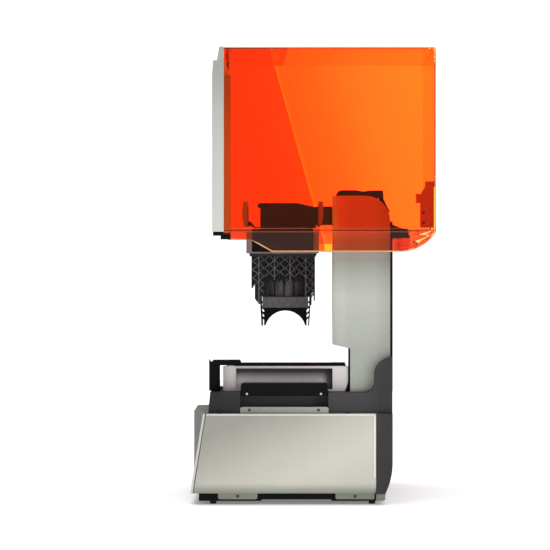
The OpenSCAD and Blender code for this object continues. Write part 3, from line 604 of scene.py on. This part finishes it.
def extrude(bm, outline, shift):
    """A flat outline of points, carried along a shift, both in millimetres."""
    face = bm.faces.new([bm.verts.new([c * MM for c in point]) for point in outline])
    made_of = bmesh.ops.extrude_face_region(bm, geom=[face])["geom"]
    verts = [g for g in made_of if isinstance(g, bmesh.types.BMVert)]
    bmesh.ops.translate(bm, vec=[c * MM for c in shift], verts=verts)


# ---------------------------------------------------------------- the cover

CREASE_Z = 481 * MM
FOOT_Z = 443.1 * MM
TUCK = 6 * MM
WALL_X = 0.18
LEANING_X = 0.19
FRONT_Y = -0.156

# The left wall's foot is paler, up to one height in front and another behind.
PALE_Y = -110.6 * MM
PALE_FRONT_Z = 0.4724
PALE_REAR_Z = 0.457
ARC_Y = 141 * MM

COVER_FINISHES = ("orange_cover", "acrylic_edge", "acrylic_pale", "acrylic_left_painted_reflection", "acrylic_low",
                  "acrylic_arc")


def tuck_in(v):
    """Below the crease the side walls lean in towards the tower."""
    t = min(1, max(0, (CREASE_Z - v.co.z) / (CREASE_Z - FOOT_Z)))
    if abs(v.co.x) > LEANING_X:
        v.co.x -= math.copysign(TUCK * t, v.co.x)


def wall_finish(middle, normal):
    """The finish of a face of the cover, which differs on the side walls."""
    if abs(normal.x) <= 0.9 or abs(middle.x) <= WALL_X:
        return "orange_cover"
    low = middle.z < CREASE_Z
    if low and middle.y > ARC_Y:
        return "acrylic_arc"
    if middle.x > 0:
        return "acrylic_low" if low else "orange_cover"
    pale_top = PALE_FRONT_Z if middle.y < PALE_Y else PALE_REAR_Z
    return "acrylic_pale" if middle.z < pale_top else "acrylic_left_painted_reflection"


def rear_top_edges(bm):
    """The long edges across the cover, high up at its rear."""
    for e in bm.edges:
        a, b = [v.co for v in e.verts]
        if abs(a.x - b.x) > 0.3 and min(a.z, b.z) > 0.79 and min(a.y, b.y) > 0.2:
            yield e


def rim_edges(bm):
    """The edges where the outside of a side wall turns into a thin edge face, apart from the front's."""
    for f in bm.faces:
        if abs(f.normal.x) <= 0.9 or f.normal.x * f.calc_center_median().x <= 0:
            continue
        for e in f.edges:
            turns = len(e.link_faces) == 2 and any(abs(g.normal.x) < 0.5 for g in e.link_faces)
            if turns and (e.verts[0].co.y + e.verts[1].co.y) / 2 > FRONT_Y:
                yield e


def cover_skin():
    """The cover: its lower band leans in below a crease, and its outer edges are rounded and painted to glow.
    """
    bm = cad_copy("cover_shell")
    for z in (CREASE_Z, PALE_FRONT_Z, PALE_REAR_Z):
        cut(bm, (0, 0, z), UP)
    for y in (PALE_Y, ARC_Y):
        cut(bm, (0, y, 0), BACK)
    for v in bm.verts:
        tuck_in(v)
    bmesh.ops.bevel(bm, geom=list(rear_top_edges(bm)), offset=0.0045, segments=2, profile=0.5, affect="EDGES")
    bm.normal_update()
    rim = list(set(rim_edges(bm)))
    for f in bm.faces:
        f.material_index = COVER_FINISHES.index(wall_finish(f.calc_center_median(), f.normal))
    bmesh.ops.bevel(bm, geom=rim, offset=0.0024, segments=3, profile=0.5, affect="EDGES",
                    material=COVER_FINISHES.index("acrylic_edge"))
    obj = mesh_object("cover_skin", bm, *COVER_FINISHES)
    flat = obj.modifiers.new("flat_walls", "WEIGHTED_NORMAL")
    flat.weight = 100
    flat.keep_sharp = True
    settle(obj, "cover_shell")
    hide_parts("cover_shell")


def cover_beads():
    """Thin lines along the crease: the bend shows as a dark line of painted shade between two light lines of
    painted highlight.
    """
    for name, low, high, rear, finish in (("dark", 480.2, 481.4, 214.5, "acrylic_bend_painted_shade"),
                                          ("upper", 484.2, 484.8, 214.5, "acrylic_bead_painted_highlight"),
                                          ("lower", 478.0, 478.7, 213.8, "acrylic_bead_painted_highlight")):
        bm = bmesh.new()
        lean = max(0, (CREASE_Z / MM - low) * TUCK / (CREASE_Z - FOOT_Z))
        for side in (-1, 1):
            x = sorted((side * (195.9 - lean), side * (196.5 - lean)))
            box(bm, x, (FRONT_Y / MM, rear), (low, high))
        settle(mesh_object("cover_bend_painted_" + name, bm, finish), "cover_shell")


def bracket_screws():
    """Two dark screws in the side of the cover bracket."""
    bm = bmesh.new()
    for z in (494, 512):
        rod(bm, (184.5, 193.5, z), (186.4, 193.5, z), 2.4, 20)
    settle(mesh_object("bracket_screws", bm, "screw_dark"), "cover_brackets")


# ---------------------------------------------------------------- the sample print

MIDDLE_Y = -49.8
# Below this height the print is painted black, as shade under its arch.
PRINT_SHADE_BELOW = 341
FLANGE_TOP = 361
FIN_YS = (-69.3, -52.2, -33.9)

RAFT = ((-115.4, 440.1), (-113.6, 434.4), (5.7, 434.4), (7.5, 440.1))
RAFT_HALF = 60
POST_TOP = 435
COLUMNS = 17
ROWS = 13
LEG_FOOT = 345
LEG_TIP = 308


def flatten(obj):
    """Gives a piece of the print or its supports a mesh of its own."""
    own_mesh(obj)


def print_skin():
    """The ribbed barrel on its flange, arched underneath: black low down, as painted shade under the arch,
    with black fins on both sides.
    """
    bm = cad_copy("sample_print")
    for z in (PRINT_SHADE_BELOW, FLANGE_TOP):
        cut(bm, (0, 0, z * MM), UP)
    for f in bm.faces:
        f.material_index = int(f.calc_center_median().z < PRINT_SHADE_BELOW * MM)
    for y in FIN_YS:
        for side in (-1, 1):
            for v in box(bm, sorted((side * 33, side * 40.5)), (y - 0.9, y + 0.9), (358, 402)):
                for f in v.link_faces:
                    f.material_index = 1
    obj = mesh_object("sample_print_skin", bm, "print_grey", "print_black_painted_shade")
    round_edges(obj, 0.0006, 2)
    settle(obj, "sample_print")
    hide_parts("sample_print")
    flatten(obj)


def foot_of(y):
    """Height at which a support post that stands at y meets the print, in millimetres."""
    gap = abs(y - MIDDLE_Y)
    if gap < 33:
        return 386 + random.uniform(0, 6)
    if gap < 46:
        return FLANGE_TOP
    return LEG_FOOT + (gap - 46) * 1.3 if gap < 57 else 377


def post_rows(column):
    """The posts of one column, as (y, foot); the inner ones stand a little off the rows, by column."""
    rows = []
    for i in range(ROWS):
        y = -110.2 + 9.44 * i
        y += (0.618 * column % 1 - 0.5) * 8 if 0 < i < ROWS - 1 else 0
        rows.append((y, foot_of(y)))
    return rows


def zigzag(bm, x, post, next_post, flip):
    """Braces that climb down between two neighbouring posts of a column."""
    (y0, low0), (y1, low1) = post, next_post
    z = 438 - random.uniform(0, 5)
    while z > max(low0, low1) + 9:
        a, b = (y0, y1) if flip else (y1, y0)
        rod(bm, (x, a, z), (x, b, z - 8.5), 0.75, 5)
        z -= 7.5
        flip = not flip


def cross_braces(bm, columns):
    """Braces from column to column, in a few of the rows."""
    for y in (-110.2, -91, -50, -10, 3):
        for i in range(0, COLUMNS - 2, 2):
            for z in range(424, 376, -16):
                rod(bm, (columns[i], y, z), (columns[i + 2], y, z - 9), 0.7, 5)


def outer_legs(bm):
    """The long legs under both ends of the flange, with their barbs."""
    for x in (-40, -20, 0, 20, 40):
        for y, lean in ((-94.5, 2.2), (-5.2, -2.2)):
            rod(bm, (x, y, POST_TOP), (x, y, LEG_FOOT), 0.95, 6)
            rod(bm, (x, y, LEG_FOOT), (x, y + lean, LEG_TIP), 0.95, 6)
            for z in range(352, 318, -9):
                rod(bm, (x, y, z), (x, y + 3 * lean, z - 6), 0.7, 5)


def support_lattice():
    """The raft, the posts under it and the braces between them; the outermost braces are a lighter piece."""
    bm, braces = bmesh.new(), bmesh.new()
    extrude(bm, [(-RAFT_HALF, y, z) for y, z in RAFT], (2 * RAFT_HALF, 0, 0))
    columns = [-52 + 6.5 * i for i in range(COLUMNS)]
    for c, x in enumerate(columns):
        outermost = c in (0, COLUMNS - 1)
        posts = post_rows(c)
        for i, (y, foot) in enumerate(posts):
            rod(braces if outermost and i % 3 == 1 else bm, (x, y, POST_TOP), (x, y, foot), 1.0, 6)
        for i in range(ROWS - 1):
            zigzag(braces if outermost else bm, x, posts[i], posts[i + 1], (i + c) % 2)
    cross_braces(bm, columns)
    outer_legs(bm)
    obj = mesh_object("support_lattice", bm)
    settle(obj, "print_supports")
    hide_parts("print_supports")
    flatten(obj)
    obj = mesh_object("support_braces", braces, "brace_grey")
    settle(obj, "print_supports")
    flatten(obj)


# ---------------------------------------------------------------- tank handles and touch screen

def handle_details():
    """Two small screws and two finger pads along the foot of each tank handle."""
    screws, pads = bmesh.new(), bmesh.new()
    turns = [i * math.pi / 12 for i in range(24)]
    for side in (-1, 1):
        for y in (-116.2, 13.8):
            rod(screws, (side * 181, y, 193.7), (side * 181.9, y, 193.7), 1.9, 20)
        for y in (-84.5, -16):
            x0, x1 = sorted((side * 181.2, side * 181.8))
            oval = [(x0, y + 11.5 * math.cos(a), 192.6 + 1.7 * math.sin(a)) for a in turns]
            extrude(pads, oval, (x1 - x0, 0, 0))
    settle(mesh_object("handle_screws", screws, "bright_steel"), "tank_handles", "bright_steel")
    settle(mesh_object("handle_pads", pads), "tank_handles")


GLASS_Y = -214.6
DIAL = (25, 112)
DIAL_R = 18
DIAL_INNER_R = 14.5
DIAL_STEPS = 48
DONE_DEGREES = 246


def dial_part(start, end):
    """Part of the ring, as points in X and Z; the angles run clockwise from the top."""
    x, z = DIAL
    angles = [math.radians(start + (end - start) * i / DIAL_STEPS) for i in range(DIAL_STEPS + 1)]
    outside = [(x + DIAL_R * math.sin(a), z + DIAL_R * math.cos(a)) for a in angles]
    inside = [(x + DIAL_INNER_R * math.sin(a), z + DIAL_INNER_R * math.cos(a)) for a in reversed(angles)]
    return outside + inside


def tile(x, z, wide, high, r):
    """A rectangle with rounded corners, as points in X and Z."""
    corners = ((1, 1, 0), (1, -1, 90), (-1, -1, 180), (-1, 1, 270))
    return [(x + sx * (wide / 2 - r) + r * math.sin(math.radians(turn + t)),
             z + sz * (high / 2 - r) + r * math.cos(math.radians(turn + t)))
            for sx, sz, turn in corners for t in (0, 30, 60, 90)]


def screen_marks():
    """The light marks: an outline of slices, the signs on the lower tiles, and the open part of the ring."""
    slices = [tile(-24, 94 + 3.2 * i, 30 - 2.6 * abs(i - 5) ** 1.2, 1.6, 0.7) for i in range(11)]
    signs = [[(-38, 57), (-38, 71), (-27, 64)], tile(0, 64, 11, 11, 1.5), tile(*DIAL, 9, 3, 1.4)]
    bars = [tile(34, 64 + 5 * i, 15, 1.8, 0.8) for i in (-1, 0, 1)]
    return slices + signs + bars + [dial_part(DONE_DEGREES + 4, 360)]


def display_face():
    """The lit face of the touch screen: tiles, bars and a ring of progress, with no lettering."""
    tiles = [tile(-24, 112, 46, 54, 3), tile(*DIAL, 46, 54, 3)]
    tiles += [tile(x, 64, 29, 24, 3) for x in (-34, 0, 34)]
    progress = [dial_part(0, DONE_DEGREES), tile(-16, 81, 62, 2.4, 1.1)]
    for name, outlines, finish, proud in (("tiles", tiles, "display_slate", 0.06),
                                          ("marks", screen_marks(), "display_light", 0.12),
                                          ("progress", progress, "display_accent", 0.12)):
        bm = bmesh.new()
        for outline in outlines:
            extrude(bm, [(x, GLASS_Y - proud, z) for x, z in outline], (0, 0.2, 0))
        settle(mesh_object("display_" + name, bm, finish), "touch_screen")


# ---------------------------------------------------------------- the side panels

PANEL_SLOPE = 22.5 / 140
PANEL_FRONT_Y = -215.4
PANEL_FOOT_Z = 20
FOLD = 4
PAINTED_SHADOW_DEPTH = 5.6
HEM_HIGHLIGHT_X = (198.6, 199.04)
PANEL_TOP_Z = 158.8
PANEL_REAR_Y = 108.8
HEM_HIGHLIGHT_WIDTH = 1.4


def panel_finish(c):
    """The folded front edge of a side panel is a light strip of painted highlight, with a painted shadow line
    behind it.
    """
    depth = c.y - (PANEL_FRONT_Y + (c.z - PANEL_FOOT_Z) * PANEL_SLOPE)
    return 1 if depth < FOLD else 2 if depth < PAINTED_SHADOW_DEPTH else 0


def side_panel(node, side):
    """A side panel with its folded front edge, and thin hems along its top and rear, painted light as
    highlights.
    """
    slope = (0, 1, -PANEL_SLOPE)
    cuts = [((0, (depth + PANEL_FRONT_Y) * MM, PANEL_FOOT_Z * MM), slope) for depth in (FOLD, PAINTED_SHADOW_DEPTH)]
    remake(node, 0.0013, 3, ("panel_silver", "panel_edge_painted_highlight", "fold_painted_shadow"), panel_finish, cuts)
    highlight_hems = bmesh.new()
    x = sorted(side * edge for edge in HEM_HIGHLIGHT_X)
    box(highlight_hems, x, (-187, PANEL_REAR_Y), (PANEL_TOP_Z - HEM_HIGHLIGHT_WIDTH, PANEL_TOP_Z))
    box(highlight_hems, x, (PANEL_REAR_Y - HEM_HIGHLIGHT_WIDTH, PANEL_REAR_Y), (48, PANEL_TOP_Z))
    settle(mesh_object(node + "_hem_highlight", highlight_hems, "hem_painted_highlight"), node)


# ---------------------------------------------------------------- every CAD node

# Nodes that a line or function of their own takes care of, in place of the plain remake.
SPECIAL = {"cover_shell", "sample_print", "print_supports", "upper_deck", "resin_tank", "tank_handles",
           "display_housing", "panel_screws", "cover_strips", "cover_lip", "left_side_panel",
           "right_side_panel", "rear_housing", "hinge_arms"}
PLAIN_WIDTH = 0.0005
WIDTH = {"front_panel": 0.0006, "tower_shell": 0.0015, "cartridge_lid": 0.0012, "build_plate": 0.0008,
         "rubber_feet": 0.0008}
FOOT_BLOCK_TOP = 19
ARM_FLANGE_TOP = 467.5


def in_pocket(c):
    """Whether a face is in the finger pocket at the side of the deck."""
    return int(150 < abs(c.x) < 184.2 and -129 < c.y < 27.5 and 168 < c.z < 196)


def in_window(c):
    """Whether a face is in the window at the end of the tank."""
    return int(141 < abs(c.x) < 149.9 and -137 < c.y < 35 and 199 < c.z < 237.5)


def split_at(node, height, width, upper, lower):
    """A node that has another finish below a height in millimetres."""
    remake(node, width, 3, (upper, lower), lambda c: int(c.z < height), [((0, 0, height * MM), UP)])


def all_nodes():
    for node in sorted(frame["nodes"]):
        if node not in SPECIAL:
            remake(node, WIDTH.get(node, PLAIN_WIDTH), 2)
    remake("upper_deck", 0.0012, 3, ("housing_grey", "pocket_grey_painted_light"), in_pocket)
    remake("resin_tank", 0.0016, 3, ("tank_satin", "tank_recess_painted_shade"), in_window)
    for node in ("cover_strips", "cover_lip"):
        remake(node, 0.0008, 3, ("strip_silver",))
    remake("display_housing", 0.0008, 3, ("pod_silver_painted_shade",))
    remake("panel_screws", 0.0003, 3, ("screw_dark",))
    split_at("rear_housing", FOOT_BLOCK_TOP, 0.0014, "housing_grey", "foot_block")
    split_at("hinge_arms", ARM_FLANGE_TOP, 0.0004, "spring_black", "acrylic_flange")
    side_panel("left_side_panel", -1)
    side_panel("right_side_panel", 1)
    bracket_screws()
    display_face()
    remake("tank_handles", 0.0014)
    handle_details()
    cover_skin()
    cover_beads()
    print_skin()
    support_lattice()


make_camera()
make_floor()
make_world()
back_card()
overhead_light()
rear_key()
bpy.context.scene.view_settings.view_transform = "Standard"
all_nodes()
